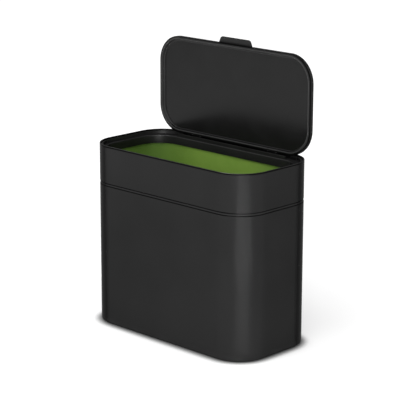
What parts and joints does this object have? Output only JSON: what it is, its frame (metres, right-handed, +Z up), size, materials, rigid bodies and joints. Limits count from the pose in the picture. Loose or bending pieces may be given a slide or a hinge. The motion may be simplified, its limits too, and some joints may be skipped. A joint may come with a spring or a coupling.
{
  "type": "compost caddy",
  "caption": "Countertop compost caddy: steel body and lift-off collar with rounded corners, hinged lid with a finger tab, and a removable inner bucket.",
  "frame": {"origin": "centre of the body's footprint, on the surface that the feet stand on", "axes": "+X to the right along the long side, -Y to the front, +Y to the hinge at the back, +Z up"},
  "size_m": [0.254, 0.1284, 0.3464],
  "materials": {
    "coated_steel": "satin",
    "black_plastic": "satin",
    "green_plastic": "satin",
    "foot_rubber": "matte",
    "gasket_rubber": "matte",
    "screw_steel": "bright",
    "washer_plastic": "satin"
  },
  "bodies": {
    "body": {"lower_shell": "coated_steel", "base_tray": "black_plastic", "foot_pad_front_left": "foot_rubber", "foot_pad_front_right": "foot_rubber", "foot_pad_back_left": "foot_rubber", "foot_pad_back_right": "foot_rubber", "base_screws": "screw_steel", "seam_ring": "black_plastic"},
    "collar": {"collar_shell": "coated_steel", "collar_sleeve": "black_plastic", "collar_frame": "black_plastic", "hinge_housing": "black_plastic", "housing_screws": "screw_steel", "hinge_washers": "washer_plastic"},
    "lid": {"lid_skin": "coated_steel", "lid_panel": "black_plastic", "lid_gasket": "gasket_rubber", "lid_tab": "black_plastic", "hinge_pin_left": "screw_steel", "hinge_pin_right": "screw_steel"},
    "bucket": {"inner_bucket": "green_plastic"}
  },
  "joints": [
    {"name": "collar_lift", "type": "slide", "parent": "body", "child": "collar", "axis": [0, 0, 1], "range_m": [0, 0.25]},
    {"name": "lid_hinge", "type": "hinge", "parent": "collar", "child": "lid", "pos_m": [0, 0.0588, 0.221], "axis": [1, 0, 0], "range_deg": [0, 90]},
    {"name": "bucket_lift", "type": "slide", "parent": "body", "child": "bucket", "axis": [0, 0, 1], "range_m": [0, 0.192]}
  ],
  "couplings": [
    {"joint": "bucket_lift", "follows": "collar_lift", "ratio": 0.76}
  ]
}
